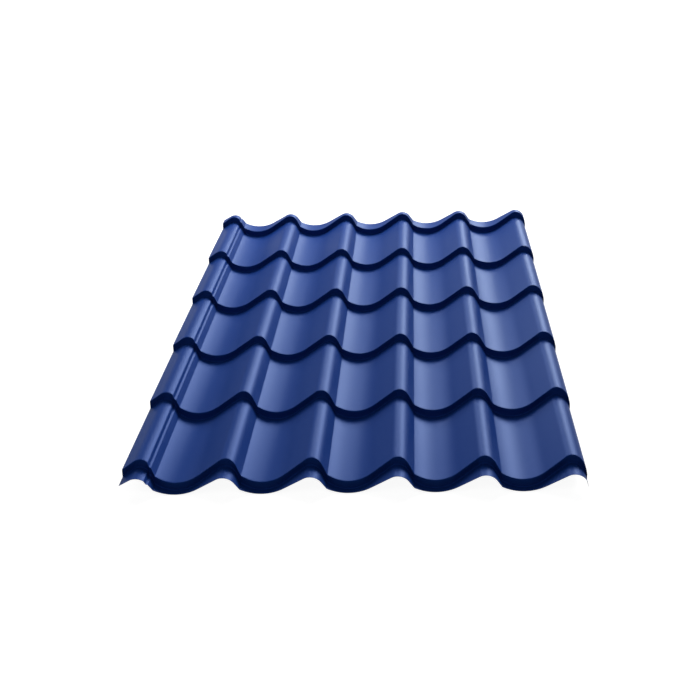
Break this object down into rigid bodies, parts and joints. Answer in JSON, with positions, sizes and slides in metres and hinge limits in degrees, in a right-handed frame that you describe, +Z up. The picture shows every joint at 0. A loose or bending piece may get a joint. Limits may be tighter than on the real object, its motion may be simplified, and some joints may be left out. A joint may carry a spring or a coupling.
{
  "type": "tile effect metal roofing sheet",
  "caption": "Thin coated steel roofing sheet, roll formed into waves and pressed into steps so that it looks like rows of clay tiles.",
  "frame": {"origin": "on the floor under the middle of the sheet, at the bottom centre of its box", "axes": "+Y up the roof, from the eave edge to the ridge edge, along the waves; +X across the waves to the right lap, seen from the eave; +Z up, towards the coated weather side"},
  "size_m": [1.1798, 1.843, 0.066],
  "materials": {
    "blue_coated_steel": "deep blue semi-gloss polyester coating on galvanised steel"
  },
  "bodies": {
    "root": {"roofing_sheet": "blue_coated_steel"}
  },
  "joints": []
}
